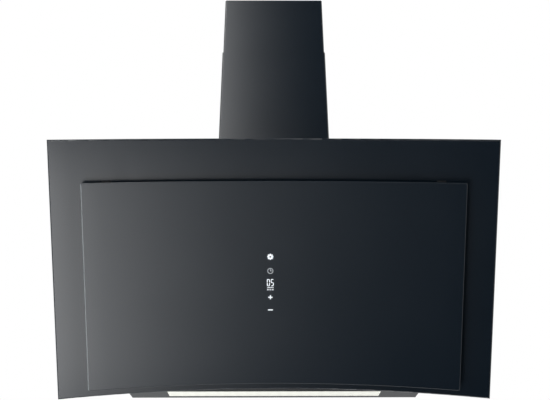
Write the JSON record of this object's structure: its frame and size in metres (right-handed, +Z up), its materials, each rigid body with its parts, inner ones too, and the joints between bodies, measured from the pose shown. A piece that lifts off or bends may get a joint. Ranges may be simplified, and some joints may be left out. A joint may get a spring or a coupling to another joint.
{
  "type": "range hood",
  "caption": "Wall-hung range hood with a sloping canopy curved in plan, a hinged curved glass over perimeter suction slots, and a two-piece telescoping flue.",
  "frame": {"origin": "centre of the four wall holes, on the wall plane behind the casing", "axes": "+X to the right seen from the cook, +Y into the wall, +Z up"},
  "size_m": [0.9042, 0.4306, 0.9685],
  "materials": {
    "black_sheet": "satin black powder coat",
    "black_glass": "black glass with a satin face",
    "flue_sheet": "satin black powder coat",
    "casing_sheet": "dark grey powder coat",
    "galvanised": "galvanised sheet",
    "steel_part": "zinc-plated",
    "black_steel": "matt black",
    "filter_alu": "drawn mesh and rolled frame",
    "black_plastic": "moulded",
    "grey_plastic": "moulded",
    "wheel_plastic": "moulded",
    "opal": "opal, lit",
    "board_green": "circuit board",
    "board_white": "LED board",
    "rubber": "matt",
    "magnet": "magnet in a plastic case",
    "can_white": "smooth",
    "display": "dark"
  },
  "bodies": {
    "hood": {"body_casing": "casing_sheet", "casing_ends": "casing_sheet", "capacitor": "can_white", "capacitor_clip": "galvanised", "filter_frame_left": "filter_alu", "filter_frame_right": "filter_alu", "filter_hook_strip": "black_steel", "filter_mesh_left": "filter_alu", "filter_mesh_right": "filter_alu", "flap_pins": "steel_part", "flue_locators": "galvanised", "hinge_brackets": "black_steel", "hinge_pins": "black_steel", "lamp_driver": "can_white", "lamp_lens": "opal", "lamp_tray": "galvanised", "led_board": "board_white", "lower_flue": "flue_sheet", "magnet_catches": "magnet", "mains_gland": "black_plastic", "motor": "steel_part", "motor_bracket": "galvanised", "motor_casing": "galvanised", "motor_casing_front": "galvanised", "motor_casing_top": "galvanised", "motor_casing_screws": "steel_part", "motor_grommets": "rubber", "outlet_collar": "black_plastic", "outlet_collar_screws": "steel_part", "power_board": "board_green", "power_box": "grey_plastic", "power_cover": "grey_plastic", "rear_panel": "black_sheet", "rubber_buffers": "rubber", "volute_left": "grey_plastic", "volute_right": "grey_plastic", "window_frame": "black_steel", "window_frame_screws": "steel_part"},
    "glass_door": {"front_glass": "black_glass", "glass_carrier": "black_steel", "hinge_leaves": "black_steel", "strike_plates": "steel_part", "display_module": "display", "touch_mask": "black_plastic", "touch_board": "board_green", "touch_cover": "black_plastic"},
    "fan": {"blower_wheel": "wheel_plastic", "motor_shaft": "steel_part"},
    "upper_cover": {"upper_flue": "flue_sheet", "ceiling_bracket": "galvanised", "flue_screws": "black_steel"},
    "flap_front": {"flap_front": "grey_plastic"},
    "flap_rear": {"flap_rear": "grey_plastic"},
    "latch_left": {"filter_latch_left": "black_plastic"},
    "latch_right": {"filter_latch_right": "black_plastic"}
  },
  "joints": [
    {"name": "glass_hinge", "type": "hinge", "parent": "hood", "child": "glass_door", "pos_m": [0, -0.36358, 0.10378], "axis": [-1, 0, 0], "range_deg": [0, 55]},
    {"name": "flue_telescope", "type": "slide", "parent": "hood", "child": "upper_cover", "axis": [0, 0, 1], "range_m": [-0.165, 0.13]},
    {"name": "fan_spin", "type": "hinge", "parent": "hood", "child": "fan", "pos_m": [0, -0.118, 0.285], "axis": [1, 0, 0], "continuous": true},
    {"name": "flap_front_swing", "type": "hinge", "parent": "hood", "child": "flap_front", "pos_m": [0, -0.1595, 0.426], "axis": [-1, 0, 0], "range_deg": [0, 75]},
    {"name": "flap_rear_swing", "type": "hinge", "parent": "hood", "child": "flap_rear", "pos_m": [0, -0.1505, 0.426], "axis": [1, 0, 0], "range_deg": [0, 75]},
    {"name": "latch_left_slide", "type": "slide", "parent": "hood", "child": "latch_left", "axis": [0, -0.5962, 0.8028], "range_m": [0, 0.006], "stiffness_N_per_m": 300, "springref_m": -0.004},
    {"name": "latch_right_slide", "type": "slide", "parent": "hood", "child": "latch_right", "axis": [0, -0.5962, 0.8028], "range_m": [0, 0.006], "stiffness_N_per_m": 300, "springref_m": -0.004}
  ]
}
